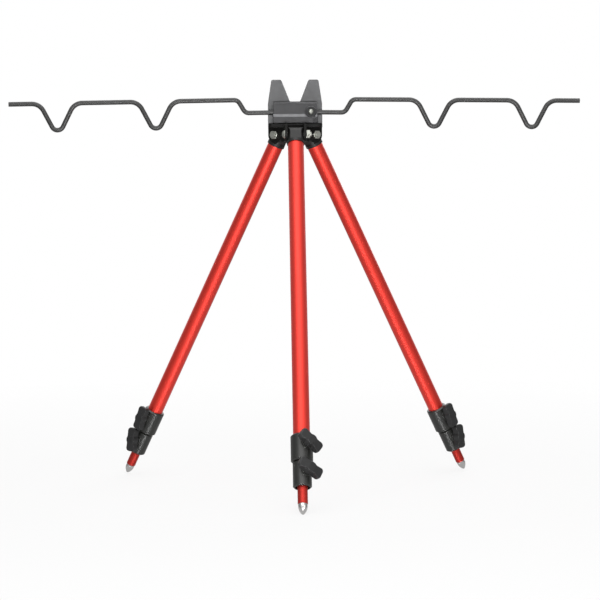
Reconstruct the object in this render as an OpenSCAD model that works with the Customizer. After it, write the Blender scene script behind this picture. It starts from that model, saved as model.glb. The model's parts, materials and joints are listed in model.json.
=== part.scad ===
// Rod pod: a tripod rest for fishing rods with telescopic legs, a notched head and two folding wire arms.
// The ground is z = 0, the head stands over the origin, and the front leg points along -Y.

/* [Stance] */
// Angle between an opened leg and the vertical
leg_angle = 28.3; // [20:0.1:34]
// Distance from the head's axis to each leg's hinge bolt
hinge_radius = 22; // [21:0.5:30]

/* [Leg tubes] */
// Outside diameter of the upper tube
upper_tube_d = 20; // [19:0.5:22]
// Wall of all the tubes
tube_wall = 1; // [0.8:0.1:1.2]
// Wall of the guide bushes between two tubes
bush_wall = 0.9; // [0.7:0.1:1.2]
// Length of the upper tube
upper_tube_len = 405; // [300:1:500]
// Length of the foot that shows below the lower clamp
foot_show = 20; // [5:1:40]
// Length of tube kept free above a closed inner tube
nest_gap = 10; // [4:1:30]
// Length of a guide bush round its tube
bush_len = 16; // [14:0.5:24]
// Length of a guide bush's plug inside its tube
bush_plug_len = 12; // [8:0.5:20]
// Thickness of a guide bush's lip over its tube's end
bush_lip = 3; // [2:0.25:4]

/* [Foot spikes] */
// Length of the spike below the lower tube
spike_len = 13; // [8:0.5:20]
// Radius of the blunt point
spike_nose_r = 1.6; // [1:0.1:2.5]
// Length of the plain band above the taper
spike_band = 2; // [1:0.5:4]
// Step from the lower tube in to the spike
spike_step = 0.4; // [0.2:0.1:1]
// Length of the plug inside the lower tube
spike_plug_len = 15; // [8:1:25]

/* [Clamp collars] */
// Wall of the collars round their tubes
collar_wall = 3.1; // [2.5:0.1:4]
// Length of the upper collar
upper_collar_len = 33; // [31:0.5:40]
// Length of the lower collar
lower_collar_len = 31.5; // [30:0.5:40]
// Depth to which a tube is seated in its collar
collar_socket = 9; // [8:0.5:12]
// Distance from the end of the seated tube to the clamp screw
screw_below_tube = 4; // [3.75:0.25:7]
// Diameter of the boss round the clamp screw
boss_d = 14; // [12:0.5:16]
// Length of the boss beyond the collar
boss_len = 1.6; // [1:0.1:3]
// Chamfer on the collar's edges
collar_chamfer = 1.5; // [0.5:0.1:2]
// Depth of the open mouth at the lower collar's end
mouth_depth = 6; // [4:0.5:8]
// Width of the rim round that mouth
mouth_rim = 0.7; // [0.5:0.1:1.2]

/* [Wing knobs] */
// Diameter of the threaded stud
stud_d = 6; // [5:0.5:7]
// Span of the knob over both wings
knob_span = 32; // [28:0.5:32]
// Depth of the knob from its seat to its face
knob_depth = 10.5; // [9:0.5:13]
// Depth of the knob at the tips of its wings
wing_depth = 8; // [6:0.25:9]
// Lift of the wing tips off the knob's seat
wing_lift = 2.5; // [1:0.25:3]
// Rounding of the wing tips
wing_round = 2; // [0.5:0.1:2.5]
// Length of the stud inside its knob
stud_grip = 5; // [3:0.5:7]
// Diameter of the knob's round middle
knob_hub_d = 13; // [12:0.5:15]
// Width of each wing at its end
wing_end_w = 15.5; // [13:0.5:16]
// Rounding of the wings' corners
wing_corner = 4; // [3:0.25:5]
// Width of the waist between the two wings
wing_waist = 10.5; // [8:0.25:12]
// Turn of the clamps about the front, right and left legs
clamp_turn = [29, -78, 78]; // [-90:1:90]
// Turn of the upper knobs on the front, right and left legs
upper_knob_turn = [54, -7, 7]; // [-90:1:90]
// Turn of the lower knobs on the front, right and left legs
lower_knob_turn = [64, -24, 24]; // [-90:1:90]

/* [Leg caps and hinges] */
// Radius of the hinge knuckle
knuckle_r = 9; // [8:0.25:9.5]
// Width of the hinge knuckle
knuckle_w = 19.8; // [18:0.2:22]
// Width of the stop heel on the knuckle
heel_w = 14; // [8:0.5:16]
// Height of the stop heel above the hinge bolt
heel_h = 4.5; // [2:0.25:5]
// Gap between the stop heel and the crown when the leg is open
heel_gap = 0.1; // [0.05:0.01:0.3]
// Gap between the crown's lugs and the cap's flange
flange_gap = 0.8; // [0.5:0.1:2]
// Thickness of the cap's flange
flange_t = 3.6; // [2.5:0.1:5]
// Overhang of the cap's flange round the tube
flange_over = 1.3; // [0.5:0.1:1.6]
// Length of the cap's plug inside the tube
cap_plug_len = 22; // [12:1:30]
// Diameter of the hinge bolts
hinge_bolt_d = 6; // [5:0.5:7]

/* [Crown] */
// Radius of the lugs round the hinge bolts
lug_r = 10; // [9.5:0.25:11]
// Thickness of each lug
lug_t = 3.2; // [2.5:0.1:4]
// Step from the top of the plate down to the lugs
lug_step = 0.6; // [0.3:0.1:2]
// Thickness of the crown's top plate
plate_t = 4.5; // [3:0.1:6]
// Rounding of the plate's front corners
plate_front_r = 5; // [2:0.5:6]
// Rounding of the plate's rear corners
plate_rear_r = 3; // [1:0.5:6]
// Distance from the crown's axis to the flats that stop the legs
hub_flat = 12; // [11:0.1:12.3]
// Depth of the hub below the hinge bolts
hub_drop = 9; // [7:0.25:12]
// Radius of the hub's corners
hub_r = 19; // [15:0.5:22]
// Diameter of the bolt that holds the head
crown_bolt_d = 6; // [5:0.5:6]
// Height of the locating pegs
peg_h = 4; // [2:0.5:6]
// Diameter of the locating pegs
peg_d = 5; // [4:0.5:7]
// Distance of each locating peg from the middle
peg_x = 24; // [20:0.5:28]

/* [Head] */
// Width of the head at its base
head_w = 69; // [68:0.5:76]
// Width over the tops of the ears
ear_span = 60; // [55:0.5:64]
// Width of the notch at the tops of the ears
notch_mouth = 35.2; // [32:0.2:40]
// Width of the flat floor of the notch
notch_floor_w = 13.2; // [10:0.2:16]
// Height of the notch floor above the crown
notch_floor_h = 28.7; // [27:0.1:34]
// Height of the ears above the notch floor
ear_h = 27.8; // [20:0.2:36]
// Rounding of the ears
ear_round = 2.6; // [1:0.1:3.5]
// Thickness of the head's body
body_t = 18; // [16:0.5:24]
// Distance from the head's axis forward to the arms
arm_forward = 4; // [2:0.25:5]

/* [Front cover] */
// Width of the cover
cover_w = 56; // [53:0.5:57]
// Height of the cover's top above the crown
cover_top = 26.5; // [25:0.1:27]
// Gap between the cover and the crown
cover_lift = 1; // [0.5:0.1:2]
// Thickness of the cover's upper part
cover_t = 5; // [4.5:0.1:7]
// Height of the cover's lip above the crown
lip_top = 12.1; // [10:0.1:13]
// Height of the slope on top of the lip
lip_slope_h = 3.6; // [1:0.1:4.5]
// Thickness of the lip beyond the cover's upper part
lip_t = 3.6; // [2:0.1:5]
// Radius of the boss round the right pivot screw
pivot_boss_r = 7.1; // [6:0.1:8]
// Height of that boss beyond the lip
pivot_boss_h = 0.8; // [0.4:0.1:3]
// Chamfer on the cover's edges
cover_edge = 1; // [0.4:0.1:1.5]
// Width of the relief slot at the lip's right end
relief_w = 3.6; // [2:0.1:5]
// Height of the relief slot above the crown
relief_h = 6.4; // [3:0.1:7]
// Distance from the relief slot to the cover's end
relief_inset = 1.8; // [1:0.1:4]

/* [Arms] */
// Diameter of the wire
wire_d = 6; // [5:0.25:7]
// Distance of each arm's pivot from the middle
arm_pivot_x = 19.7; // [18.5:0.1:20]
// Height of the pivots above the crown
arm_rise = 14.7; // [14:0.1:16]
// Droop of the arms
arm_droop = 0.7; // [0:0.1:2]
// Distance from the pivot to the step in the wire
step_start = 39; // [30:0.5:50]
// Rise of the step
step_rise = 16.6; // [12:0.2:20]
// Slope of the step
step_angle = 60; // [45:1:75]
// Bending radius of the step
step_r = 8; // [6:0.5:10]
// Distance from the pivot to the first rod rest
first_rest = 157.5; // [130:0.5:180]
// Distance between the two rod rests
rest_pitch = 125; // [90:0.5:150]
// Depth of the rod rests
rest_depth = 33.8; // [25:0.2:45]
// Slope of the rod rests' sides
rest_angle = 63; // [50:1:75]
// Bending radius at the bottom of a rod rest
rest_bottom_r = 7.8; // [6:0.1:10]
// Bending radius at the mouth of a rod rest
rest_mouth_r = 16.4; // [10:0.1:20]
// Distance from the pivot to the wire's free end
arm_len = 343.7; // [325:0.5:380]
// Thickness of the flattened eye
eye_t = 5.6; // [4:0.1:6]
// Radius of the flattened eye
eye_r = 6.8; // [6:0.1:7.5]
// Diameter of the pivot screws
pivot_d = 4; // [3:0.5:5]

/* [Fasteners] */
// Diameter of the pivot screws' heads
pivot_head_d = 7; // [6:0.5:8]
// Height of the pivot screws' heads
pivot_head_h = 2.6; // [2:0.1:3]
// Width of the cross recess in a pivot screw
pivot_cross_w = 1.1; // [0.8:0.1:1.4]
// Length of the cross recess in a pivot screw
pivot_cross_l = 4.2; // [3:0.1:4.8]
// Width across the flats of the pivot nuts
pivot_nut_w = 7; // [6:0.5:8]
// Height of the pivot nuts
pivot_nut_h = 3.2; // [2.5:0.1:4]
// Depth of the pockets in the head's back
nut_pocket = 6; // [5.5:0.5:9]
// Width across the flats of the crown bolt's head
crown_head_w = 10; // [8:0.5:11]
// Height of the crown bolt's head
crown_head_h = 4; // [3:0.5:5]
// Room round the crown bolt's head
crown_head_room = 1; // [0.5:0.1:2]
// Length of the crown bolt inside the head
crown_bolt_end = 12; // [8:0.5:14]
// Diameter of the threaded insert in the head
insert_d = 9; // [8:0.5:10]
// Length of the threaded insert
insert_len = 14; // [14:0.5:18]
// Diameter of the hinge bolts' heads
hinge_head_d = 11; // [9:0.5:13]
// Height of the hinge bolts' heads
hinge_head_h = 4.2; // [3:0.1:5]
// Width of the hexagon socket in a hinge bolt
hinge_socket_w = 4; // [3:0.5:5]
// Width across the flats of the hinge nuts
hinge_nut_w = 10; // [9:0.5:12]
// Height of the hinge nuts
hinge_nut_h = 5; // [4:0.5:6]
// Width of the bevel round a nut's face
nut_bevel = 0.3; // [0.1:0.05:0.6]
// Angle of that bevel
nut_bevel_angle = 30; // [20:1:35]
// Length of thread that shows beyond a nut
thread_out = 1.5; // [0.5:0.25:2]
// Turn of the front, right and left hinge bolts, end for end
bolt_turn = [180, 0, 180]; // [0:180:180]

/* [Fits] */
// Clearance round pins, studs and seated plugs
pin_fit = 0.05; // [0.02:0.01:0.1]
// Clearance round sliding tubes
slide_fit = 0.1; // [0.08:0.01:0.15]
// Gap at a closed stop
stop_gap = 0.3; // [0.2:0.05:0.5]
// Gap beside a turning piece
side_gap = 0.4; // [0.3:0.05:0.6]

/* [Hidden] */
$fn = 64;
arc_steps = 8;
bore_margin = 1;
hex_round = 2 / sqrt(3);
hinge_span = knuckle_w + 2 * side_gap;
LEGS = ["front", "right", "left"];
LEG_AZIMUTH = [-90, 30, 150];

// Telescopic tubes: each inner tube is the outer one's bore less a guide bush all round
upper_tube_bore = upper_tube_d - 2 * tube_wall;
bush_step = 2 * (bush_wall + slide_fit);
middle_tube_d = upper_tube_bore - bush_step;
middle_tube_bore = middle_tube_d - 2 * tube_wall;
lower_tube_d = middle_tube_bore - bush_step;
lower_tube_bore = lower_tube_d - 2 * tube_wall;
upper_collar_d = upper_tube_d + 2 * collar_wall;
lower_collar_d = middle_tube_d + 2 * collar_wall;

// Places along a leg, measured down from its hinge bolt
flange_at = lug_r + flange_gap;
upper_tube_at = flange_at + flange_t;
upper_tube_end = upper_tube_at + upper_tube_len;
upper_collar_at = upper_tube_end - collar_socket;
screw_drop = collar_socket + screw_below_tube;
lower_collar_at = upper_collar_at + upper_collar_len + stop_gap;
middle_tube_end = lower_collar_at + collar_socket;
middle_tube_at = upper_tube_at + cap_plug_len + nest_gap;
lower_tube_at = middle_tube_at + bush_plug_len + stop_gap + bush_lip;
lower_tube_end = lower_collar_at + lower_collar_len + foot_show;
spike_end = lower_tube_end + spike_len;

// Heights of the head above the ground
hinge_z = (spike_end - spike_nose_r) * cos(leg_angle) + spike_nose_r;
plate_z = hinge_z + knuckle_r + stop_gap;
hub_z = hinge_z - hub_drop;
head_z = plate_z + plate_t;
arm_z = head_z + arm_rise;
notch_z = head_z + notch_floor_h;
ear_z = notch_z + ear_h;

// Depths of the head, from the body's back to the cover's face
arm_slot = wire_d + 2 * side_gap;
body_front = arm_slot / 2 - arm_forward;
body_back = body_front + body_t;
cover_back = body_front - arm_slot;
cover_face = cover_back - cover_t;
lip_face = cover_face - lip_t;
boss_face = lip_face - pivot_boss_h;

// Sizes of the arms
function bends_rise(r, a) = r * (1 - cos(a));
step_flank = (step_rise - 2 * bends_rise(step_r, step_angle)) / sin(step_angle);
step_len = 2 * step_r * sin(step_angle) + step_flank * cos(step_angle);
rest_radii = rest_bottom_r + rest_mouth_r;
rest_flank = (rest_depth - bends_rise(rest_radii, rest_angle)) / sin(rest_angle);
rest_half = rest_radii * sin(rest_angle) + rest_flank * cos(rest_angle);
bend_lap = 0.4;
bend_swell = 0.02;
STEP_UP = [
    ["bend", step_angle, step_r],
    ["line", step_flank],
    ["bend", -step_angle, step_r]
];
ROD_REST = [
    ["bend", -rest_angle, rest_mouth_r],
    ["line", rest_flank],
    ["bend", 2 * rest_angle, rest_bottom_r],
    ["line", rest_flank],
    ["bend", -rest_angle, rest_mouth_r]
];
ARM_ROUTE = concat(
    [["line", step_start]],
    STEP_UP,
    [["line", first_rest - rest_half - step_start - step_len]],
    ROD_REST,
    [["line", rest_pitch - 2 * rest_half]],
    ROD_REST,
    [["line", arm_len - first_rest - rest_pitch - rest_half]]
);

LEG_PIECES = [
    "cap", "upper_tube", "upper_collar", "upper_knob", "upper_stud", "middle_tube", "middle_bush",
    "lower_collar", "lower_knob", "lower_stud", "lower_tube", "lower_bush", "spike"
];
HEAD_PIECES = [
    "crown", "head_body", "front_cover", "right_arm", "left_arm", "arm_pivot_screws", "arm_pivot_nuts",
    "crown_bolt", "crown_insert", "hinge_bolts", "hinge_nuts"
];

// Outlines and rods

function unit(v) = v / norm(v);
function half_corner(a, b, c) = acos(unit(a - b) * unit(c - b)) / 2;
function arc(centre, r, from, to, skip = 0) =
    [
        for (k = [skip:arc_steps])
            let (a = from + k * (to - from) / arc_steps)
            centre + r * [cos(a), sin(a)]
    ];
function corner_arc(a, b, c, r) =
    let (h = half_corner(a, b, c))
    let (centre = b + unit(unit(a - b) + unit(c - b)) * r / sin(h))
    let (out = b - centre)
    let (middle = atan2(out.y, out.x))
    arc(centre, r, middle - 90 + h, middle + 90 - h);

// Outline, points anticlockwise, with each corner rounded to its own radius; inward corners stay sharp
module rounded(points, radii) {
    n = len(points);
    polygon([
        for (i = [0:n - 1])
            each radii[i] > 0
                ? corner_arc(points[(i + n - 1) % n], points[i], points[(i + 1) % n], radii[i])
                : [points[i]]
    ]);
}

// Outline drawn in X and Z, given thickness from one depth to another
module upright(y_front, y_back) {
    translate([0, y_back, 0])
        rotate([90, 0, 0])
            linear_extrude(y_back - y_front)
                children();
}

// Outline drawn in Y and Z, carried sideways over a width about the middle
module across(width) {
    translate([-width / 2, 0, 0])
        rotate([90, 0, 90])
            linear_extrude(width)
                children();
}

// Rod along Y between two depths
module rod_y(x, z, d, y_front, y_back, sides = 0) {
    translate([x, y_back, z])
        rotate([90, 0, 0])
            cylinder(d = d, h = y_back - y_front, $fn = sides > 0 ? sides : $fn);
}

// Places

module on_leg(i) {
    rotate([0, 0, LEG_AZIMUTH[i]])
        translate([hinge_radius, 0, hinge_z])
            rotate([0, -leg_angle, 0])
                children();
}

module at_hinges(turns = [0, 0, 0]) {
    for (i = [0:len(LEGS) - 1])
        rotate([0, 0, LEG_AZIMUTH[i]])
            translate([hinge_radius, 0, hinge_z])
                rotate([0, 0, turns[i]])
                    children();
}

// Clamp screw's place on a leg: X runs outward along the screw
module on_clamp(i, collar_at) {
    on_leg(i)
        rotate([0, 0, clamp_turn[i]])
            translate([0, 0, -collar_at - screw_drop])
                children();
}

// Head

module lug_outline() {
    circle(r = lug_r);
    translate([-hinge_radius, 0])
        square([hinge_radius + lug_r, head_z - lug_step - hinge_z]);
}

module clevis_lugs() {
    for (side = [-1, 1])
        translate([0, side * (hinge_span + lug_t) / 2 + lug_t / 2, 0])
            rotate([90, 0, 0])
                linear_extrude(lug_t)
                    lug_outline();
}

module plate_outline() {
    rounded(
        [
            [-head_w / 2, cover_face],
            [head_w / 2, cover_face],
            [head_w / 2, body_back],
            [-head_w / 2, body_back]
        ],
        [plate_front_r, plate_front_r, plate_rear_r, plate_rear_r]
    );
}

// Triangle with a flat towards each leg and its corners turned off
module hub_outline() {
    intersection() {
        circle(r = 2 * hub_flat, $fn = 3);
        circle(r = hub_r);
    }
}

module crown() {
    mid_plate = plate_z + plate_t / 2;
    color([0.13, 0.13, 0.14])
        difference() {
            union() {
                translate([0, 0, plate_z])
                    linear_extrude(plate_t)
                        plate_outline();
                at_hinges()
                    clevis_lugs();
                translate([0, 0, hub_z])
                    linear_extrude(mid_plate - hub_z)
                        rotate(90)
                            hub_outline();
                for (side = [-1, 1])
                    translate([side * peg_x, (body_front + body_back) / 2, mid_plate])
                        cylinder(d = peg_d, h = head_z + peg_h - mid_plate);
            }
            at_hinges()
                rotate([90, 0, 0])
                    cylinder(d = hinge_bolt_d + 2 * pin_fit, h = hinge_span + 4 * lug_t, center = true);
            translate([0, 0, hub_z - bore_margin])
                cylinder(d = crown_bolt_d + 2 * pin_fit, h = head_z - hub_z + 2 * bore_margin);
            translate([0, 0, hub_z - bore_margin])
                cylinder(
                    d = crown_head_w * hex_round + 2 * crown_head_room,
                    h = crown_head_h + crown_head_room + bore_margin
                );
        }
}

module head_outline() {
    shoulder_z = head_z + cover_top;
    rounded(
        [
            [-head_w / 2, head_z],
            [head_w / 2, head_z],
            [head_w / 2, shoulder_z],
            [ear_span / 2, ear_z],
            [notch_mouth / 2, ear_z],
            [notch_floor_w / 2, notch_z],
            [-notch_floor_w / 2, notch_z],
            [-notch_mouth / 2, ear_z],
            [-ear_span / 2, ear_z],
            [-head_w / 2, shoulder_z]
        ],
        [0, 0, 0, ear_round, ear_round, 0, 0, ear_round, ear_round, 0]
    );
}

module head_side_outline() {
    rounded(
        [[body_front, head_z], [body_back, head_z], [body_back, ear_z], [body_front, ear_z]],
        [0, 0, ear_round * 2, ear_round]
    );
}

module head_body() {
    stop_in = cover_w / 2 + side_gap;
    stop_depth = body_front - cover_back + bore_margin;
    stop_z = arm_z - wire_d / 2 - stop_gap - (head_w / 2 - arm_pivot_x) * tan(arm_droop);
    middle_w = 2 * (arm_pivot_x - eye_r - side_gap) - bore_margin;
    color([0.42, 0.42, 0.43])
        difference() {
            union() {
                intersection() {
                    upright(body_front, body_back)
                        head_outline();
                    across(head_w)
                        head_side_outline();
                }
                translate([-middle_w / 2, cover_back, head_z])
                    cube([middle_w, stop_depth, cover_top]);
                for (side = [0, 1])
                    mirror([side, 0, 0])
                        translate([stop_in, cover_back, head_z])
                            cube([head_w / 2 - stop_in, stop_depth, stop_z - head_z]);
            }
            for (side = [-1, 1])
                rod_y(
                    side * arm_pivot_x, arm_z, pivot_d + 2 * pin_fit,
                    body_front - bore_margin, body_back + bore_margin
                );
            rod_y(
                arm_pivot_x, arm_z, (pivot_nut_w + 2 * pin_fit) * hex_round,
                body_back - nut_pocket, body_back + bore_margin, 6
            );
            rod_y(
                -arm_pivot_x, arm_z, pivot_head_d + 2 * side_gap,
                body_back - nut_pocket, body_back + bore_margin
            );
            translate([0, 0, head_z - bore_margin])
                cylinder(d = insert_d + 2 * pin_fit, h = insert_len + bore_margin);
            for (side = [-1, 1])
                translate([side * peg_x, (body_front + body_back) / 2, head_z - bore_margin])
                    cylinder(d = peg_d + 2 * pin_fit, h = peg_h + stop_gap + bore_margin);
        }
}

module cover_side_outline() {
    lip_z = head_z + lip_top;
    polygon([
        [cover_back, head_z + cover_lift],
        [cover_back, head_z + cover_top],
        [cover_face + cover_edge, head_z + cover_top],
        [cover_face, head_z + cover_top - cover_edge],
        [cover_face, lip_z],
        [lip_face, lip_z - lip_slope_h],
        [lip_face, head_z + cover_lift]
    ]);
}

module front_cover() {
    half = cover_w / 2;
    color([0.34, 0.34, 0.35])
        difference() {
            union() {
                intersection() {
                    across(cover_w)
                        cover_side_outline();
                    upright(lip_face, cover_back)
                        rounded(
                            [
                                [-half, head_z + cover_lift],
                                [half, head_z + cover_lift],
                                [half, head_z + cover_top],
                                [-half, head_z + cover_top]
                            ],
                            [cover_edge, cover_edge, 2 * cover_edge, 2 * cover_edge]
                        );
                }
                rod_y(arm_pivot_x, arm_z, 2 * pivot_boss_r, boss_face, cover_back);
            }
            rod_y(
                arm_pivot_x, arm_z, pivot_d + 2 * pin_fit,
                boss_face - bore_margin, cover_back + bore_margin
            );
            rod_y(
                -arm_pivot_x, arm_z, (pivot_nut_w + 2 * pin_fit) * hex_round,
                cover_back - pivot_nut_h - stop_gap, cover_back + bore_margin, 6
            );
            translate([half - relief_inset - relief_w, lip_face - bore_margin, head_z])
                cube([relief_w, lip_t + bore_margin, relief_h]);
        }
}

// Wire bent along a route of straight and curved stretches, from X, where positive angles bend upward.
// A straight stretch runs a little way into the bends beside it, which are a hair thicker.
module bent_wire(route, i = 0) {
    if (i < len(route)) {
        if (route[i][0] == "line") {
            lap_before = i > 0 ? bend_lap : 0;
            lap_after = i < len(route) - 1 ? bend_lap : 0;
            translate([-lap_before, 0, 0])
                rotate([0, 90, 0])
                    cylinder(d = wire_d - 2 * bend_swell, h = lap_before + route[i][1] + lap_after);
            translate([route[i][1], 0, 0])
                bent_wire(route, i + 1);
        } else {
            angle = abs(route[i][1]);
            up = sign(route[i][1]);
            r = route[i][2];
            translate([0, 0, up * r])
                rotate([90, 0, 0])
                    rotate([0, 0, up > 0 ? -90 : 90 - angle])
                        rotate_extrude(angle = angle)
                            translate([r, 0])
                                circle(d = wire_d);
            translate([r * sin(angle), 0, up * r * (1 - cos(angle))])
                rotate([0, -route[i][1], 0])
                    bent_wire(route, i + 1);
        }
    }
}

module arm() {
    color([0.28, 0.28, 0.29])
        translate([arm_pivot_x, -arm_forward, arm_z])
            rotate([0, arm_droop, 0])
                difference() {
                    union() {
                        rod_y(0, 0, 2 * eye_r, -eye_t / 2, eye_t / 2);
                        bent_wire(ARM_ROUTE);
                    }
                    rod_y(0, 0, pivot_d + 2 * pin_fit, -wire_d, wire_d);
                    translate([-wire_d, eye_t / 2, -wire_d])
                        cube([wire_d + eye_r, wire_d, 2 * wire_d]);
                    translate([-wire_d, -eye_t / 2 - wire_d, -wire_d])
                        cube([wire_d + eye_r, wire_d, 2 * wire_d]);
                }
}

module right_arm() {
    arm();
}

module left_arm() {
    mirror([1, 0, 0])
        arm();
}

// Heads and nuts, drawn upward from their seats

module pan_head(d, h) {
    crown_r = (d * d / 4 + h * h) / (2 * h);
    rotate_extrude()
        intersection() {
            translate([0, h - crown_r])
                circle(r = crown_r);
            square([d / 2, h]);
        }
}

module socket_pan_head(d, h, socket_w) {
    difference() {
        pan_head(d, h);
        translate([0, 0, h / 2])
            cylinder(d = socket_w * hex_round, h = h, $fn = 6);
    }
}

module cross_pan_head(d, h, cross_w, cross_l) {
    difference() {
        pan_head(d, h);
        for (turn = [0, 90])
            rotate([0, 0, turn])
                translate([-cross_l / 2, -cross_w / 2, h / 2])
                    cube([cross_l, cross_w, h]);
    }
}

// Hexagon nut with a bevel round both faces
module hex_nut(w, h, bore_d) {
    corner_r = w * hex_round / 2;
    face_r = w / 2 - nut_bevel;
    reach = corner_r - face_r + bore_margin;
    fall = reach * tan(nut_bevel_angle);
    difference() {
        intersection() {
            cylinder(r = corner_r, h = h, $fn = 6);
            rotate_extrude()
                polygon([
                    [0, 0], [face_r, 0], [face_r + reach, fall],
                    [face_r + reach, h - fall], [face_r, h], [0, h]
                ]);
        }
        translate([0, 0, -bore_margin])
            cylinder(d = bore_d, h = h + 2 * bore_margin);
    }
}

module arm_pivot_screws() {
    nut_seat = body_back - nut_pocket;
    blind_nut = cover_back - pivot_nut_h;
    color([0.78, 0.79, 0.80]) {
        rod_y(arm_pivot_x, arm_z, pivot_d, boss_face, nut_seat + pivot_nut_h + thread_out);
        translate([arm_pivot_x, boss_face, arm_z])
            rotate([90, 0, 0])
                cross_pan_head(pivot_head_d, pivot_head_h, pivot_cross_w, pivot_cross_l);
        rod_y(-arm_pivot_x, arm_z, pivot_d, blind_nut, nut_seat);
        translate([-arm_pivot_x, nut_seat, arm_z])
            rotate([-90, 0, 0])
                cross_pan_head(pivot_head_d, pivot_head_h, pivot_cross_w, pivot_cross_l);
    }
}

module pivot_nut(x, seat) {
    translate([x, seat + pivot_nut_h, arm_z])
        rotate([90, 0, 0])
            hex_nut(pivot_nut_w, pivot_nut_h, pivot_d + 2 * pin_fit);
}

module arm_pivot_nuts() {
    color([0.74, 0.75, 0.76]) {
        pivot_nut(arm_pivot_x, body_back - nut_pocket);
        pivot_nut(-arm_pivot_x, cover_back - pivot_nut_h);
    }
}

module crown_bolt() {
    seat = hub_z + crown_head_h + crown_head_room;
    color([0.74, 0.75, 0.76]) {
        translate([0, 0, seat])
            cylinder(d = crown_bolt_d, h = head_z + crown_bolt_end - seat);
        translate([0, 0, seat - crown_head_h])
            cylinder(d = crown_head_w * hex_round, h = crown_head_h, $fn = 6);
    }
}

module crown_insert() {
    color([0.80, 0.66, 0.36])
        translate([0, 0, head_z])
            difference() {
                cylinder(d = insert_d, h = insert_len);
                translate([0, 0, -bore_margin])
                    cylinder(d = crown_bolt_d + 2 * pin_fit, h = insert_len + 2 * bore_margin);
            }
}

module hinge_bolts() {
    half = hinge_span / 2 + lug_t;
    color([0.72, 0.73, 0.68])
        at_hinges(bolt_turn) {
            rod_y(0, 0, hinge_bolt_d, -half - hinge_nut_h - thread_out, half);
            translate([0, half, 0])
                rotate([-90, 0, 0])
                    socket_pan_head(hinge_head_d, hinge_head_h, hinge_socket_w);
        }
}

module hinge_nuts() {
    half = hinge_span / 2 + lug_t;
    color([0.74, 0.75, 0.76])
        at_hinges(bolt_turn)
            translate([0, -half, 0])
                rotate([90, 0, 0])
                    hex_nut(hinge_nut_w, hinge_nut_h, hinge_bolt_d + 2 * pin_fit);
}

// Leg

// Round piece along a leg, between two places measured down from the hinge bolt
module turned(d, from, to) {
    translate([0, 0, -to])
        cylinder(d = d, h = to - from);
}

module tube(d, from, to) {
    difference() {
        turned(d, from, to);
        turned(d - 2 * tube_wall, from - bore_margin, to + bore_margin);
    }
}

module cap() {
    flange_d = upper_tube_d + 2 * flange_over;
    heel_reach = hinge_radius - hub_flat - heel_gap;
    color([0.14, 0.14, 0.15])
        difference() {
            union() {
                turned(flange_d, flange_at, upper_tube_at);
                turned(upper_tube_bore - 2 * pin_fit, flange_at, upper_tube_at + cap_plug_len);
                intersection() {
                    union() {
                        rotate([90, 0, 0])
                            cylinder(r = knuckle_r, h = knuckle_w, center = true);
                        translate([-knuckle_r, -knuckle_w / 2, -flange_at - bore_margin])
                            cube([2 * knuckle_r, knuckle_w, flange_at + bore_margin]);
                    }
                    translate([0, 0, -flange_at - bore_margin])
                        cylinder(d = flange_d, h = flange_at + knuckle_r + 2 * bore_margin);
                }
                rotate([0, leg_angle, 0])
                    translate([-heel_reach, -heel_w / 2, 0])
                        cube([heel_reach, heel_w, heel_h]);
            }
            rotate([90, 0, 0])
                cylinder(d = hinge_bolt_d + 2 * pin_fit, h = 2 * knuckle_w, center = true);
        }
}

module upper_tube() {
    color([0.82, 0.13, 0.09])
        tube(upper_tube_d, upper_tube_at, upper_tube_end);
}

module middle_tube() {
    color([0.80, 0.14, 0.10])
        tube(middle_tube_d, middle_tube_at, middle_tube_end);
}

module lower_tube() {
    color([0.78, 0.15, 0.11])
        tube(lower_tube_d, lower_tube_at, lower_tube_end);
}

// Collar seated on an outer tube's end, with a guide for the inner tube and a boss for the clamp screw
module collar(i, at, len, d, outer_d, inner_d) {
    c = collar_chamfer;
    color([0.16, 0.16, 0.17])
        difference() {
            union() {
                on_leg(i)
                    translate([0, 0, -at])
                        rotate_extrude()
                            polygon([
                                [0, 0], [d / 2 - c, 0], [d / 2, -c],
                                [d / 2, c - len], [d / 2 - c, -len], [0, -len]
                            ]);
                on_clamp(i, at)
                    rotate([0, 90, 0])
                        cylinder(d = boss_d, h = d / 2 + boss_len);
            }
            on_leg(i) {
                turned(outer_d + 2 * pin_fit, at - bore_margin, at + collar_socket);
                turned(inner_d + 2 * slide_fit, at, at + len + bore_margin);
            }
            on_clamp(i, at)
                rotate([0, 90, 0])
                    cylinder(d = stud_d + 2 * pin_fit, h = d);
        }
}

module upper_collar(i) {
    collar(i, upper_collar_at, upper_collar_len, upper_collar_d, upper_tube_d, middle_tube_d);
}

module lower_collar(i) {
    difference() {
        collar(i, lower_collar_at, lower_collar_len, lower_collar_d, middle_tube_d, lower_tube_d);
        on_leg(i)
            turned(
                lower_collar_d - 2 * (collar_chamfer + mouth_rim),
                lower_collar_at + lower_collar_len - mouth_depth,
                lower_collar_at + lower_collar_len + bore_margin
            );
    }
}

// Knob seen along its screw
module knob_face_outline() {
    tip = knob_span / 2;
    wing = wing_end_w / 2;
    waist = wing_waist / 2;
    circle(d = knob_hub_d);
    rounded(
        [
            [-wing, -tip],
            [wing, -tip],
            [waist, -waist],
            [waist, waist],
            [wing, tip],
            [-wing, tip],
            [-waist, waist],
            [-waist, -waist]
        ],
        [wing_corner, wing_corner, 0, 0, wing_corner, wing_corner, 0, 0]
    );
}

// Knob seen from the side, its screw along X
module knob_side_outline() {
    rounded(
        [
            [0, -knob_hub_d / 2],
            [wing_lift, -knob_span / 2],
            [wing_depth, -knob_span / 2],
            [knob_depth, -knob_hub_d / 4],
            [knob_depth, knob_hub_d / 4],
            [wing_depth, knob_span / 2],
            [wing_lift, knob_span / 2],
            [0, knob_hub_d / 2]
        ],
        [0, wing_round, wing_round, 0, 0, wing_round, wing_round, 0]
    );
}

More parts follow.
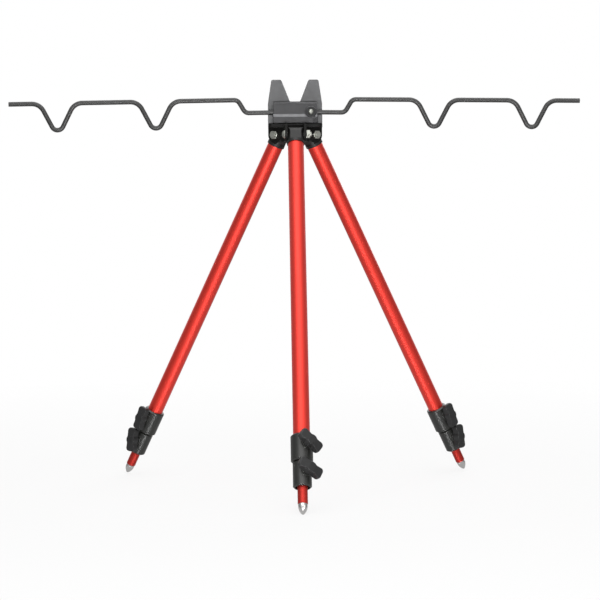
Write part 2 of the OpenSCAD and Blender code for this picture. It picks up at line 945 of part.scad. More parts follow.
// Wing knob moulded on a stud, its seat a small gap off the collar's boss
module knob(i, at, collar_d, turn) {
    half_w = max(knob_hub_d, wing_end_w) / 2 + bore_margin;
    color([0.15, 0.15, 0.16])
        on_clamp(i, at)
            translate([collar_d / 2 + boss_len + side_gap, 0, 0])
                rotate([turn, 0, 0])
                    difference() {
                        intersection() {
                            rotate([90, 0, 90])
                                linear_extrude(knob_depth)
                                    knob_face_outline();
                            translate([0, half_w, 0])
                                rotate([90, 0, 0])
                                    linear_extrude(2 * half_w)
                                        knob_side_outline();
                        }
                        translate([-bore_margin, 0, 0])
                            rotate([0, 90, 0])
                                cylinder(d = stud_d + 2 * pin_fit, h = stud_grip + bore_margin);
                    }
}

// Threaded stud from the clamped tube to the inside of its knob
module stud(i, at, collar_d, inner_d) {
    from = inner_d / 2 + stop_gap;
    to = collar_d / 2 + boss_len + side_gap + stud_grip;
    color([0.72, 0.73, 0.74])
        on_clamp(i, at)
            translate([from, 0, 0])
                rotate([0, 90, 0])
                    cylinder(d = stud_d, h = to - from);
}

// Guide bush: a ring that runs in the outer tube, with a plug seated in the inner tube's top end
module bush(outer_bore, inner_d, at) {
    inner_bore = inner_d - 2 * tube_wall;
    color([0.85, 0.85, 0.83])
        difference() {
            union() {
                turned(outer_bore - 2 * slide_fit, at - bush_lip, at + bush_len);
                turned(inner_bore - 2 * pin_fit, at - bush_lip, at + bush_plug_len);
            }
            difference() {
                turned(inner_d + 2 * pin_fit, at, at + bush_len + bore_margin);
                turned(inner_bore - 2 * pin_fit, at - bore_margin, at + bush_plug_len);
            }
            turned(inner_bore - 2 * bush_lip, at - bush_lip - bore_margin, at + bush_plug_len + bore_margin);
        }
}

module middle_bush() {
    bush(upper_tube_bore, middle_tube_d, middle_tube_at);
}

module lower_bush() {
    bush(middle_tube_bore, lower_tube_d, lower_tube_at);
}

// Pointed foot: an arc from the plain band that runs into the blunt point, and a plug above
module spike() {
    full_r = lower_tube_d / 2 - spike_step;
    plug_r = lower_tube_bore / 2 - pin_fit;
    nose = [0, spike_nose_r - spike_end];
    band = [full_r, -lower_tube_end - spike_band];
    drop = band.y - nose.y;
    curve_r = (pow(full_r, 2) + pow(drop, 2) - pow(spike_nose_r, 2)) / (2 * (full_r - spike_nose_r));
    lean = atan2(drop, curve_r - full_r);
    color([0.80, 0.80, 0.82])
        rotate_extrude()
            polygon(concat(
                arc(nose, spike_nose_r, -90, -lean),
                arc(band - [curve_r, 0], curve_r, -lean, 0, 1),
                [
                    [full_r, -lower_tube_end],
                    [plug_r, -lower_tube_end],
                    [plug_r, spike_plug_len - lower_tube_end],
                    [0, spike_plug_len - lower_tube_end]
                ]
            ));
}

// One node per piece

crown();
head_body();
front_cover();
right_arm();
left_arm();
arm_pivot_screws();
arm_pivot_nuts();
crown_bolt();
crown_insert();
hinge_bolts();
hinge_nuts();
for (i = [0:len(LEGS) - 1]) {
    leg = LEGS[i];
    on_leg(i) cap();
    on_leg(i) upper_tube();
    upper_collar(i);
    knob(i, upper_collar_at, upper_collar_d, upper_knob_turn[i]);
    stud(i, upper_collar_at, upper_collar_d, middle_tube_d);
    on_leg(i) middle_tube();
    on_leg(i) middle_bush();
    lower_collar(i);
    knob(i, lower_collar_at, lower_collar_d, lower_knob_turn[i]);
    stud(i, lower_collar_at, lower_collar_d, lower_tube_d);
    on_leg(i) lower_tube();
    on_leg(i) lower_bush();
    on_leg(i) spike();
}
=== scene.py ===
import json
import math
import bpy
import bmesh
from mathutils import Matrix, Vector


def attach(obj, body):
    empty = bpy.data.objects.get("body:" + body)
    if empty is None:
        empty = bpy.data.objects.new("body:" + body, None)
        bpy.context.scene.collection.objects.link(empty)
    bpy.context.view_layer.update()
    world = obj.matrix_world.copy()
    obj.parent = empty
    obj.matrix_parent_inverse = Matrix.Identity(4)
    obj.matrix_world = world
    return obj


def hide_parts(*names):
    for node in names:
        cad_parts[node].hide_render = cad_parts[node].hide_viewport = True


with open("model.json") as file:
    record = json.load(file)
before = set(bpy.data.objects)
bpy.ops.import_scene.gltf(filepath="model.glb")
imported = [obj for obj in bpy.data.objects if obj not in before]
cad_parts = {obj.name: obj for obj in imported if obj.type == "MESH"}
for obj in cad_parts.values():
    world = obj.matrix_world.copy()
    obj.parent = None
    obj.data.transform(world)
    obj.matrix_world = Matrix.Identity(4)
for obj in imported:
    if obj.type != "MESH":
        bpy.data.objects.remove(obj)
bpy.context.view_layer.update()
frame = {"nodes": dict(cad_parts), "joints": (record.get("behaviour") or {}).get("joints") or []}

# Leg tubes: drawn aluminium in three sliding sizes, deburred at the ends and dyed red in the anodising bath.
# The drawing die leaves faint lines along a tube, and its satin skin is a little uneven from place to place.
# A leg's own axes start at its hinge bolt, with Z up along the tubes and X outward.
mm = 0.001
joints = {joint["name"]: joint for joint in frame["joints"]}
legs = {}
for leg in ("front", "right", "left"):
    up = -Vector(joints[f"{leg}_middle_slide"]["axis"]).normalized()
    across = Vector(joints[f"{leg}_leg_fold"]["axis"]).normalized()
    turn = Matrix((across.cross(up), across, up)).transposed().to_4x4()
    legs[leg] = Matrix.Translation(joints[f"{leg}_leg_fold"]["pos_m"]) @ turn


def along_leg(node, leg):
    """Where a node begins and ends along its leg, measured down from the hinge bolt."""
    to_leg = legs[leg].inverted()
    heights = [(to_leg @ v.co).z for v in frame["nodes"][node].data.vertices]
    return -max(heights), -min(heights)


def girth(node, leg):
    """A node's smallest and largest distance from its leg's axis."""
    to_leg = legs[leg].inverted()
    reach = [(to_leg @ v.co).to_2d().length for v in frame["nodes"][node].data.vertices]
    return min(reach), max(reach)


def turned(name, profile, place, sides=72):
    """A closed outline of (radius, height) points turned about the Z axis of a place."""
    same_point = 1e-7
    no_length = 1e-8
    sharp_corner = math.radians(28)
    bm = bmesh.new()
    uv = bm.loops.layers.uv.new("wrap")
    rings = []
    for k in range(sides):
        a = 2 * math.pi * k / sides
        rings.append([bm.verts.new((r * math.cos(a), r * math.sin(a), z)) for r, z in profile])
    count = len(profile)
    for k in range(sides):
        for i in range(count):
            j = (i + 1) % count
            if profile[i][0] == 0 and profile[j][0] == 0:
                continue
            corners = [(k, i), (k + 1, i), (k + 1, j), (k, j)]
            face = bm.faces.new([rings[c % sides][p] for c, p in corners])
            for loop, (c, p) in zip(face.loops, corners):
                loop[uv].uv = (c / sides, profile[p][1])
    bmesh.ops.remove_doubles(bm, verts=bm.verts, dist=same_point)
    bmesh.ops.dissolve_degenerate(bm, dist=no_length, edges=bm.edges)
    bmesh.ops.recalc_face_normals(bm, faces=bm.faces)
    mesh = bpy.data.meshes.new(name)
    bm.to_mesh(mesh)
    bm.free()
    mesh.polygons.foreach_set("use_smooth", [True] * len(mesh.polygons))
    mesh.set_sharp_from_angle(angle=sharp_corner)
    mesh.transform(place)
    piece = bpy.data.objects.new(name, mesh)
    bpy.context.scene.collection.objects.link(piece)
    return piece


def new_group(name, inputs, outputs):
    """An empty node group with number and vector sockets, and the sockets inside it."""
    kinds = {"value": "NodeSocketFloat", "vector": "NodeSocketVector"}
    group = bpy.data.node_groups.new(name, "ShaderNodeTree")
    for side, sockets in (("INPUT", inputs), ("OUTPUT", outputs)):
        for label, kind in sockets:
            group.interface.new_socket(label, in_out=side, socket_type=kinds[kind])
    return group, group.nodes.new("NodeGroupInput").outputs, group.nodes.new("NodeGroupOutput").inputs


def put(tree, kind, links=None, **settings):
    """A node with its settings, and with links or values on its inputs."""
    node = tree.nodes.new(kind)
    for key, value in settings.items():
        setattr(node, key, value)
    for socket, value in (links or {}).items():
        if isinstance(value, bpy.types.NodeSocket):
            tree.links.new(value, node.inputs[socket])
        else:
            node.inputs[socket].default_value = value
    return node


def noise(tree, place, scale, detail):
    """A value that wanders between 0 and 1 from place to place."""
    values = {"Vector": place, "Scale": scale, "Detail": detail}
    return put(tree, "ShaderNodeTexNoise", values).outputs["Fac"]


def ranged(tree, value, to=(0, 1), of=(0, 1)):
    """A value carried from one range of numbers to another, and held within it."""
    limits = {"From Min": of[0], "From Max": of[1], "To Min": to[0], "To Max": to[1]}
    return put(tree, "ShaderNodeMapRange", {"Value": value, **limits}).outputs[0]


def laid_over(tree, share, under, over):
    """The colour that shows where one colour lies over another by a share that changes over the surface."""
    under, over = [c if isinstance(c, bpy.types.NodeSocket) else (*c, 1) for c in (under, over)]
    return put(tree, "ShaderNodeMix", {0: share, 6: under, 7: over}, data_type="RGBA").outputs[2]


def new_material(name, colour, metallic, roughness):
    """A material with its shader, whose plain values are set on the shader's own sockets."""
    material = bpy.data.materials.new(name)
    material.use_nodes = True
    shader = material.node_tree.nodes["Principled BSDF"]
    shader.inputs["Base Color"].default_value = (*colour, 1)
    shader.inputs["Metallic"].default_value = metallic
    shader.inputs["Roughness"].default_value = roughness
    return material, material.node_tree, shader


drawn_lines, given, made = new_group(
    "drawn_lines",
    [("Vector", "vector"), ("Lines", "value")],
    [("Tone", "value"), ("Gloss", "value"), ("Height", "value")],
)
line_stretch = (1, 0.02, 1)
patches_a_metre = 9.0
drawn = put(drawn_lines, "ShaderNodeVectorMath", {0: given["Vector"], 1: line_stretch}, operation="MULTIPLY")
fine = noise(drawn_lines, drawn.outputs[0], given["Lines"], detail=3)
broad = noise(drawn_lines, given["Vector"], patches_a_metre, detail=4)
drawn_lines.links.new(broad, made["Tone"])
drawn_lines.links.new(fine, made["Gloss"])
drawn_lines.links.new(fine, made["Height"])

dyed_metal = 0.85
film_roughness = 0.42
lines_around = 160
line_relief = {"Strength": 0.06, "Distance": 0.3 * mm}


def anodised_tube(name, dark, light, rough, film):
    """Dyed anodised aluminium: two shades of red, satin lines along the tube and a clear film over them."""
    material, tree, shader = new_material(name, light, metallic=dyed_metal, roughness=rough[1])
    shader.inputs["Coat Weight"].default_value = film
    shader.inputs["Coat Roughness"].default_value = film_roughness
    wrap = put(tree, "ShaderNodeUVMap", uv_map="wrap").outputs[0]
    lines = put(tree, "ShaderNodeGroup", node_tree=drawn_lines)
    lines.inputs["Lines"].default_value = lines_around
    tree.links.new(wrap, lines.inputs["Vector"])
    tree.links.new(laid_over(tree, lines.outputs["Tone"], dark, light), shader.inputs["Base Color"])
    tree.links.new(ranged(tree, lines.outputs["Gloss"], rough), shader.inputs["Roughness"])
    relief = put(tree, "ShaderNodeBump", {"Height": lines.outputs["Height"], **line_relief})
    tree.links.new(relief.outputs[0], shader.inputs["Normal"])
    return material


upper_red = anodised_tube(
    "upper_red", dark=(0.72, 0.028, 0.015), light=(0.84, 0.040, 0.022), rough=(0.40, 0.52), film=0.6
)
# The lower tubes take a darker copy of the same red: painted shade for the shade the collars cast down them.
lower_red_painted_shade = anodised_tube(
    "lower_red_painted_shade", dark=(0.40, 0.018, 0.011), light=(0.54, 0.027, 0.016), rough=(0.42, 0.54), film=0.3
)
tube_finish = {"upper": upper_red, "middle": upper_red, "lower": lower_red_painted_shade}
tube_edge = 0.35 * mm
for leg, place in legs.items():
    for size, body in (("upper", "leg"), ("middle", "middle"), ("lower", "lower")):
        node = f"{leg}_{size}_tube"
        top, end = along_leg(node, leg)
        inside, outside = girth(node, leg)
        wall = [
            (inside, -top - tube_edge), (inside + tube_edge, -top), (outside - tube_edge, -top),
            (outside, -top - tube_edge), (outside, -end + tube_edge), (outside - tube_edge, -end),
            (inside + tube_edge, -end), (inside, -end + tube_edge),
        ]
        tube = turned(f"{leg}_{size}_red_tube", wall, place)
        tube.data.materials.append(tube_finish[size])
        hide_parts(node)
        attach(tube, f"{leg}_{body}")

# Leg caps: black plastic plugs pressed into the tops of the upper tubes, with a knuckle for the hinge bolt.
# They are moulded with a fine spark-eroded grain, and their corners are rubbed paler where the leg swings.
moulding_grain, given, made = new_group(
    "moulding_grain",
    [("Vector", "vector"), ("Grain", "value")],
    [("Tone", "value"), ("Gloss", "value"), ("Height", "value")],
)
flows_a_metre = 60.0
grain = noise(moulding_grain, given["Vector"], given["Grain"], detail=2)
flow = noise(moulding_grain, given["Vector"], flows_a_metre, detail=5)
moulding_grain.links.new(flow, made["Tone"])
moulding_grain.links.new(flow, made["Gloss"])
moulding_grain.links.new(grain, made["Height"])


def reckon(tree, operation, *values):
    """What a sum makes of one or two values that change over the surface."""
    return put(tree, "ShaderNodeMath", dict(enumerate(values)), operation=operation).outputs[0]


edge_wear, given, made = new_group(
    "edge_wear",
    [("Reach", "value"), ("Vector", "vector")],
    [("Mask", "value")],
)
edge_samples = 6
ridge_turn = (0.995, 0.86)
rubs_a_metre = 220.0
rub_spread = (0.38, 0.62)
worn = put(edge_wear, "ShaderNodeBevel", {"Radius": given["Reach"]}, samples=edge_samples).outputs[0]
facing = put(edge_wear, "ShaderNodeNewGeometry").outputs["Normal"]
match = put(edge_wear, "ShaderNodeVectorMath", {0: worn, 1: facing}, operation="DOT_PRODUCT")
ridge = ranged(edge_wear, match.outputs["Value"], of=ridge_turn)
patchy = noise(edge_wear, given["Vector"], rubs_a_metre, detail=4)
rubbed = ranged(edge_wear, patchy, of=rub_spread)
edge_wear.links.new(reckon(edge_wear, "MULTIPLY", ridge, rubbed), made["Mask"])

wear_reach = 0.7 * mm
moulded_edge = 0.5 * mm
grain_strength = 0.5


def moulded_plastic(name, dark, light, rubbed_to, rough, grain_size, grain_depth, shine=0.5):
    """Moulded plastic: two shades of a colour, paler rounded edges, a range of gloss and a fine grain."""
    material, tree, shader = new_material(name, light, metallic=0, roughness=rough[1])
    shader.inputs["Specular IOR Level"].default_value = shine
    place = put(tree, "ShaderNodeTexCoord").outputs["Object"]
    grain = put(tree, "ShaderNodeGroup", node_tree=moulding_grain)
    grain.inputs["Grain"].default_value = 1 / grain_size
    wear = put(tree, "ShaderNodeGroup", node_tree=edge_wear)
    wear.inputs["Reach"].default_value = wear_reach
    for group in (grain, wear):
        tree.links.new(place, group.inputs["Vector"])
    shade = laid_over(tree, grain.outputs["Tone"], dark, light)
    tree.links.new(laid_over(tree, wear.outputs["Mask"], shade, rubbed_to), shader.inputs["Base Color"])
    tree.links.new(ranged(tree, grain.outputs["Gloss"], rough), shader.inputs["Roughness"])
    rounded = put(tree, "ShaderNodeBevel", {"Radius": moulded_edge}, samples=edge_samples).outputs[0]
    pitting = {"Height": grain.outputs["Height"], "Strength": grain_strength, "Distance": grain_depth}
    relief = put(tree, "ShaderNodeBump", {**pitting, "Normal": rounded})
    tree.links.new(relief.outputs[0], shader.inputs["Normal"])
    return material


def dress(node, material):
    """Gives a CAD node its finish."""
    piece = frame["nodes"][node]
    for slot in piece.material_slots:
        slot.material = material
    return piece


cap_plastic = moulded_plastic(
    "cap_plastic",
    dark=(0.006, 0.006, 0.006), light=(0.011, 0.011, 0.010), rubbed_to=(0.03, 0.03, 0.028),
    rough=(0.36, 0.50), grain_size=0.35 * mm, grain_depth=0.04 * mm, shine=0.42,
)
for leg in legs:
    dress(f"{leg}_cap", cap_plastic)

# Clamp collars: black plastic sleeves on the lower ends of the tubes, each with a boss for its clamp screw.
# They come from a polished mould, so a bright streak runs along the sleeve between dark sides.
collar_plastic = moulded_plastic(
    "collar_plastic",
    dark=(0.008, 0.0085, 0.0075), light=(0.014, 0.0145, 0.0125), rubbed_to=(0.04, 0.04, 0.037),
    rough=(0.30, 0.40), grain_size=0.4 * mm, grain_depth=0.01 * mm, shine=0.65,
)
for leg in legs:
    for size in ("upper", "lower"):
        dress(f"{leg}_{size}_collar", collar_plastic)

# Wing knobs: black plastic, moulded on steel studs that press on the tube through the collar's wall.
# The mould rounds every edge, and fingers rub the wings' crests a little greyer than the rest.
knob_plastic = moulded_plastic(
    "knob_plastic",
    dark=(0.016, 0.016, 0.016), light=(0.027, 0.027, 0.028), rubbed_to=(0.06, 0.06, 0.062),
    rough=(0.32, 0.48), grain_size=0.4 * mm, grain_depth=0.04 * mm, shine=0.35,
)
knob_voxel = 0.35 * mm
knob_round_share = 0.5
knob_round_passes = 14
knob_faces_kept = 0.25
for leg in legs:
    for size in ("upper", "lower"):
        knob = dress(f"{leg}_{size}_knob", knob_plastic)
        skin = knob.modifiers.new("whole_skin", "REMESH")
        skin.mode = "VOXEL"
        skin.voxel_size = knob_voxel
        skin.use_smooth_shade = True
        rounds = knob.modifiers.new("mould_rounds", "SMOOTH")
        rounds.factor = knob_round_share
        rounds.iterations = knob_round_passes
        lighter = knob.modifiers.new("fewer_faces", "DECIMATE")
        lighter.ratio = knob_faces_kept

# Studs, bolts, nuts and screws: turned or headed steel with a zinc plating.
# The plating is slightly cloudy, and darker in the tool marks.
plating_dark = (0.30, 0.31, 0.28)
plating_light = (0.48, 0.49, 0.445)
plating_haze = (0.36, 0.52)
clouds_a_metre = 420.0
fastener_edge = 0.25 * mm
tool_mark_relief = {"Strength": 0.15, "Distance": 0.05 * mm}
zinc, tree, shader = new_material("zinc", plating_light, metallic=1, roughness=plating_haze[1])
place = put(tree, "ShaderNodeTexCoord").outputs["Object"]
cloud = noise(tree, place, clouds_a_metre, detail=4)
tree.links.new(laid_over(tree, cloud, plating_dark, plating_light), shader.inputs["Base Color"])
tree.links.new(ranged(tree, cloud, plating_haze), shader.inputs["Roughness"])
rounded = put(tree, "ShaderNodeBevel", {"Radius": fastener_edge}, samples=edge_samples).outputs[0]
tool_marks = put(tree, "ShaderNodeBump", {"Height": cloud, "Normal": rounded, **tool_mark_relief})
tree.links.new(tool_marks.outputs[0], shader.inputs["Normal"])
for node in ("hinge_bolts", "hinge_nuts", "arm_pivot_screws", "arm_pivot_nuts", "crown_bolt"):
    dress(node, zinc)
for leg in legs:
    for size in ("upper", "lower"):
        dress(f"{leg}_{size}_stud", zinc)

# Guide bushes: rings of natural nylon on the upper ends of the middle and lower tubes.
# They hide inside the legs, keep the tubes centred and stop each of them at the collar.
nylon = moulded_plastic(
    "nylon",
    dark=(0.62, 0.62, 0.57), light=(0.74, 0.74, 0.69), rubbed_to=(0.8, 0.8, 0.76),
    rough=(0.35, 0.5), grain_size=0.5 * mm, grain_depth=0.03 * mm,
)
for leg in legs:
    for size in ("middle", "lower"):
        dress(f"{leg}_{size}_bush", nylon)

# Foot spikes: turned steel points with a bright nickel plating, pressed into the lower tubes.
# Lathe rings run round them, and a rounded nose meets the curved flank below a short straight band.
nickel_dark = (0.60, 0.59, 0.58)
nickel_light = (0.80, 0.79, 0.78)
nickel_polish = (0.07, 0.20)
rings_a_metre = 900.0
nickel, tree, shader = new_material("nickel", nickel_light, metallic=1, roughness=nickel_polish[1])
wrap = put(tree, "ShaderNodeUVMap", uv_map="wrap").outputs[0]
rings = noise(tree, wrap, rings_a_metre, detail=3)
tree.links.new(ranged(tree, rings, nickel_polish), shader.inputs["Roughness"])
tree.links.new(laid_over(tree, rings, nickel_dark, nickel_light), shader.inputs["Base Color"])
spike_nose = 1.6 * mm
spike_band = 2 * mm
spike_plug = 15 * mm
spike_step = 0.4 * mm
spike_edge = 0.3 * mm
plug_room = 0.05 * mm
plug_edge = 0.5 * mm
spike_sides = 48
nose_steps = 12
flank_steps = 24
for leg, place in legs.items():
    node = f"{leg}_spike"
    top, end = along_leg(node, leg)
    bore, rim = girth(f"{leg}_lower_tube", leg)
    full = rim - spike_step
    plug = bore - plug_room
    shoulder = top + spike_plug
    band = shoulder + spike_band
    drop = end - spike_nose - band
    curve = (full ** 2 + drop ** 2 - spike_nose ** 2) / (2 * (full - spike_nose))
    lean = math.atan2(drop, curve - full)
    outline = [(0, -end)]
    for k in range(1, nose_steps + 1):
        a = math.pi / 2 + (lean - math.pi / 2) * k / nose_steps
        outline.append((spike_nose * math.cos(a), -(end - spike_nose) - spike_nose * math.sin(a)))
    for k in range(1, flank_steps + 1):
        a = lean * (1 - k / flank_steps)
        outline.append((full - curve + curve * math.cos(a), -band - curve * math.sin(a)))
    outline += [(full, -shoulder - spike_edge), (full - spike_edge, -shoulder), (plug, -shoulder)]
    outline += [(plug, -top - plug_edge), (plug - plug_edge, -top), (0, -top)]
    spike = turned(f"{leg}_foot_spike", outline, place, spike_sides)
    spike.data.materials.append(nickel)
    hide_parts(node)
    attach(spike, f"{leg}_lower")

# Crown: the black plastic spider that the three legs hinge on, with a clevis for each.
# It is moulded with a dull grain round a brass insert, which takes the bolt that holds the head on.
black_plastic = moulded_plastic(
    "black_plastic",
    dark=(0.004, 0.004, 0.004), light=(0.008, 0.008, 0.007), rubbed_to=(0.025, 0.025, 0.023),
    rough=(0.38, 0.54), grain_size=0.35 * mm, grain_depth=0.04 * mm, shine=0.12,
)
dress("crown", black_plastic)
brass_colour = (0.60, 0.42, 0.17)
brass_haze = (0.25, 0.45)
brass_clouds_a_metre = 500.0
brass, tree, shader = new_material("brass", brass_colour, metallic=1, roughness=brass_haze[1])
place = put(tree, "ShaderNodeTexCoord").outputs["Object"]
cloud = noise(tree, place, brass_clouds_a_metre, detail=3)
tree.links.new(ranged(tree, cloud, brass_haze), shader.inputs["Roughness"])
dress("crown_insert", brass)

# Head: the grey plastic moulding with two ears that form the centre notch, bolted on the crown.
# It has a fine matt grain, the mould's rounds on its edges, and a slightly cloudy grey.
grey_plastic = moulded_plastic(
    "grey_plastic",
    dark=(0.082, 0.083, 0.085), light=(0.172, 0.173, 0.177), rubbed_to=(0.23, 0.23, 0.23),
    rough=(0.46, 0.62), grain_size=0.45 * mm, grain_depth=0.05 * mm, shine=0.3,
)


def soften(node, material, edge):
    """Gives a CAD node its finish, and rounds its sharp edges as a mould leaves them."""
    same_point = 1e-6
    one_face = math.radians(0.6)
    sharp_edge = math.radians(32)
    piece = dress(node, material)
    weld = piece.modifiers.new("join_facets", "WELD")
    weld.merge_threshold = same_point
    flat = piece.modifiers.new("whole_faces", "DECIMATE")
    flat.decimate_type = "DISSOLVE"
    flat.angle_limit = one_face
    rounding = piece.modifiers.new("rounded_edges", "BEVEL")
    rounding.width = edge
    rounding.segments = 3
    rounding.limit_method = "ANGLE"
    rounding.angle_limit = sharp_edge
    rounding.use_clamp_overlap = False
    shading = piece.modifiers.new("even_shading", "WEIGHTED_NORMAL")
    shading.keep_sharp = False


head_round = 0.8 * mm
soften("head_body", grey_plastic, head_round)

# Front cover: a darker grey plastic moulding that closes the arm pivots in, held by the pivot screws.
# Upward faces such as its ledge are painted paler: dust with a painted highlight; a painted shade darkens
# the boss.
cover_plastic = moulded_plastic(
    "cover_plastic",
    dark=(0.040, 0.040, 0.042), light=(0.087, 0.087, 0.090), rubbed_to=(0.17, 0.17, 0.175),
    rough=(0.44, 0.60), grain_size=0.45 * mm, grain_depth=0.05 * mm, shine=0.25,
)
# Dust and painted highlight: faces that look up are laid paler in patches, for dust and for light from
# above.
dust_and_highlight_colour = (0.28, 0.28, 0.29)
dust_and_highlight_slope = (0.25, 0.65)
dust_and_highlight_amount = (0.55, 1.25)
dust_and_highlight_patches_a_metre = 160.0
# Painted shade: the boss round the right screw is darkened in the colour, for the shade in its recess.
boss_painted_shade_colour = (0.020, 0.020, 0.021)
boss_painted_shade_reach = (7.6 * mm, 6.2 * mm)
screw_spot = Vector(joints["right_arm_fold"]["pos_m"])
across_screw = (1, 0, 1)
tree = cover_plastic.node_tree
shader = tree.nodes["Principled BSDF"]
place = put(tree, "ShaderNodeTexCoord").outputs["Object"]
off_screw = put(tree, "ShaderNodeVectorMath", {0: place, 1: screw_spot}, operation="SUBTRACT").outputs[0]
aside = put(tree, "ShaderNodeVectorMath", {0: off_screw, 1: across_screw}, operation="MULTIPLY").outputs[0]
from_screw = put(tree, "ShaderNodeVectorMath", {0: aside}, operation="LENGTH").outputs["Value"]
plain = shader.inputs["Base Color"].links[0].from_socket
boss_painted_shade = laid_over(tree, ranged(tree, from_screw, of=boss_painted_shade_reach), plain, boss_painted_shade_colour)
facing = put(tree, "ShaderNodeNewGeometry").outputs["Normal"]
level = ranged(tree, put(tree, "ShaderNodeSeparateXYZ", {0: facing}).outputs["Z"], of=dust_and_highlight_slope)
uneven = ranged(tree, noise(tree, place, dust_and_highlight_patches_a_metre, detail=4), dust_and_highlight_amount)
dust_and_highlight = put(tree, "ShaderNodeMath", {0: level, 1: uneven}, operation="MULTIPLY", use_clamp=True)
tree.links.new(laid_over(tree, dust_and_highlight.outputs[0], boss_painted_shade, dust_and_highlight_colour), shader.inputs["Base Color"])
cover_round = 0.5 * mm
soften("front_cover", cover_plastic, cover_round)

# Arms: steel wire bent into two rests each, with a flattened eye on its pivot screw.
# They are dipped in a dark grey coating with a faint grain.
coated_wire = moulded_plastic(
    "coated_wire",
    dark=(0.027, 0.027, 0.027), light=(0.042, 0.042, 0.041), rubbed_to=(0.07, 0.07, 0.07),
    rough=(0.34, 0.48), grain_size=0.9 * mm, grain_depth=0.02 * mm,
)
for side in ("right", "left"):
    dress(f"{side}_arm", coated_wire)

# Floor: a pale sheet that keeps a soft shadow. The camera sees it as a clear film before the white room, so
# a leg that is drawn out below it still shows. In reflections it glows as far as a studio table is wide,
# and the sides of the round legs mirror the darker room beyond.
floor_reach = 12.0
table_edge = (0.12, 0.70)
table_glow = (0.60, 0.25)
film_edge = (0.4, 1.6)
film_share = (0.84, 1.0)
paper_lit = (0.52, 0.52, 0.52)
paper_seen = (0.95, 0.95, 0.95)
white = (1, 1, 1, 1)
floor_corners = [(-floor_reach, -floor_reach, 0), (floor_reach, -floor_reach, 0)]
floor_corners += [(floor_reach, floor_reach, 0), (-floor_reach, floor_reach, 0)]
floor_mesh = bpy.data.meshes.new("floor")
floor_mesh.from_pydata(floor_corners, [], [(0, 1, 2, 3)])
floor = bpy.data.objects.new("floor", floor_mesh)
bpy.context.scene.collection.objects.link(floor)
pale = bpy.data.materials.new("pale_floor")
pale.use_nodes = True
tree = pale.node_tree
tree.nodes.remove(tree.nodes["Principled BSDF"])
rays = put(tree, "ShaderNodeLightPath").outputs
spot = put(tree, "ShaderNodeTexCoord").outputs["Object"]
aside = reckon(tree, "ABSOLUTE", put(tree, "ShaderNodeSeparateXYZ", {0: spot}).outputs["X"])
distance = put(tree, "ShaderNodeVectorMath", {0: spot}, operation="LENGTH").outputs["Value"]
film = ranged(tree, distance, film_share, film_edge)
paper = laid_over(tree, rays["Is Camera Ray"], paper_lit, paper_seen)
matt = put(tree, "ShaderNodeBsdfDiffuse", {"Color": paper})
bright = ranged(tree, aside, table_glow, table_edge)
glow = put(tree, "ShaderNodeEmission", {"Color": white, "Strength": bright})
clear = put(tree, "ShaderNodeBsdfTransparent")
mirrored = reckon(tree, "MAXIMUM", rays["Is Glossy Ray"], rays["Is Transmission Ray"])
glowing = reckon(tree, "MULTIPLY", mirrored, film)
sheet = put(tree, "ShaderNodeMixShader", {0: glowing, 1: matt.outputs[0], 2: glow.outputs[0]})
seen = reckon(tree, "MULTIPLY", rays["Is Camera Ray"], film)
through = reckon(tree, "MAXIMUM", seen, rays["Is Shadow Ray"])
surface = put(tree, "ShaderNodeMixShader", {0: through, 1: sheet.outputs[0], 2: clear.outputs[0]})
tree.links.new(surface.outputs[0], tree.nodes["Material Output"].inputs["Surface"])
floor_mesh.materials.append(pale)

# Studio: a white room with darker sides, a large soft lamp over the camera, a low strip before the legs,
# a weak lamp at the right, one overhead and one behind. A lamp under the floor stands for the table's shine.
# The floor hides that lamp from mirrored rays, so it is sampled by itself.
sky_light = 0.28
flag_edge = (0.42, 0.95)
flag_level = (1.0, 0.28)
world = bpy.data.worlds.new("studio")
bpy.context.scene.world = world
world.use_nodes = True
tree = world.node_tree
tree.nodes.clear()
rays = put(tree, "ShaderNodeLightPath").outputs
seen = reckon(tree, "MAXIMUM", rays["Is Camera Ray"], rays["Is Glossy Ray"])
seen = reckon(tree, "MAXIMUM", seen, rays["Is Transmission Ray"])
way = put(tree, "ShaderNodeSeparateXYZ", {0: put(tree, "ShaderNodeTexCoord").outputs["Generated"]})
flags = ranged(tree, reckon(tree, "ABSOLUTE", way.outputs["X"]), flag_level, flag_edge)
mirrored = reckon(tree, "MAXIMUM", rays["Is Camera Ray"], flags)
level = put(tree, "ShaderNodeMix", {0: seen, 2: sky_light, 3: mirrored}).outputs[0]
sky = put(tree, "ShaderNodeBackground", {"Color": white, "Strength": level})
put(tree, "ShaderNodeOutputWorld", {"Surface": sky.outputs[0]})


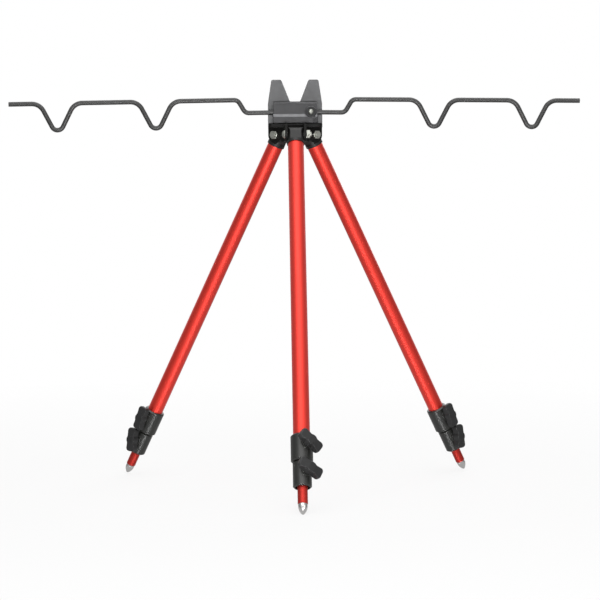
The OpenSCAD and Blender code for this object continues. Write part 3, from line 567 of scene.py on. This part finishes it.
def soft_lamp(name, spot, aim, width, height, power):
    """A soft lamp at a place, pointed at another."""
    lamp = bpy.data.lights.new(name, "AREA")
    lamp.shape = "RECTANGLE"
    lamp.size = width
    lamp.size_y = height
    lamp.energy = power
    holder = bpy.data.objects.new(name, lamp)
    holder.location = spot
    holder.rotation_mode = "QUATERNION"
    holder.rotation_quaternion = (Vector(aim) - Vector(spot)).to_track_quat("-Z", "Y")
    bpy.context.scene.collection.objects.link(holder)
    return lamp


pod_middle = (0, 0, 0.3)
soft_lamp("key", spot=(-0.3, -1.6, 2.4), aim=pod_middle, width=2.4, height=2.4, power=24)
soft_lamp("low", spot=(0, -1.5, 0.075), aim=(0, 0, 0.25), width=0.6, height=0.11, power=13)
shine = soft_lamp("table", spot=(0, -0.76, -0.68), aim=(0, 0.1, 0.1), width=0.5, height=0.3, power=2.4)
shine.cycles.use_multiple_importance_sampling = False
soft_lamp("fill", spot=(1.8, -1.9, 0.9), aim=pod_middle, width=1.2, height=1.2, power=5)
soft_lamp("top", spot=(0.2, 0.2, 2.4), aim=pod_middle, width=1.6, height=1.6, power=14)
soft_lamp("back", spot=(0.5, 2.4, 1.5), aim=pod_middle, width=2.0, height=2.0, power=22)

# Camera: a long lens a little under the head's height, looking slightly down, as in the photograph.
# The pod stands turned a little to the left of square.
aim = Vector((4.4 * mm, 0, 236.6 * mm))
away = 2.562
look_down = math.radians(2.593)
heading = math.radians(1.307)
roll = math.radians(-0.45)
long_lens = 120
film_width = 36
ahead = Vector((
    math.sin(heading) * math.cos(look_down), math.cos(heading) * math.cos(look_down), -math.sin(look_down)
))
camera = bpy.data.objects.new("camera", bpy.data.cameras.new("camera"))
camera.data.lens = long_lens
camera.data.sensor_width = film_width
camera.location = aim - ahead * away
upright = ahead.to_track_quat("-Z", "Y").to_matrix()
camera.rotation_mode = "QUATERNION"
camera.rotation_quaternion = (upright @ Matrix.Rotation(roll, 3, "Z")).to_quaternion()
bpy.context.scene.collection.objects.link(camera)
bpy.context.scene.camera = camera
bpy.context.scene.view_settings.view_transform = "Standard"
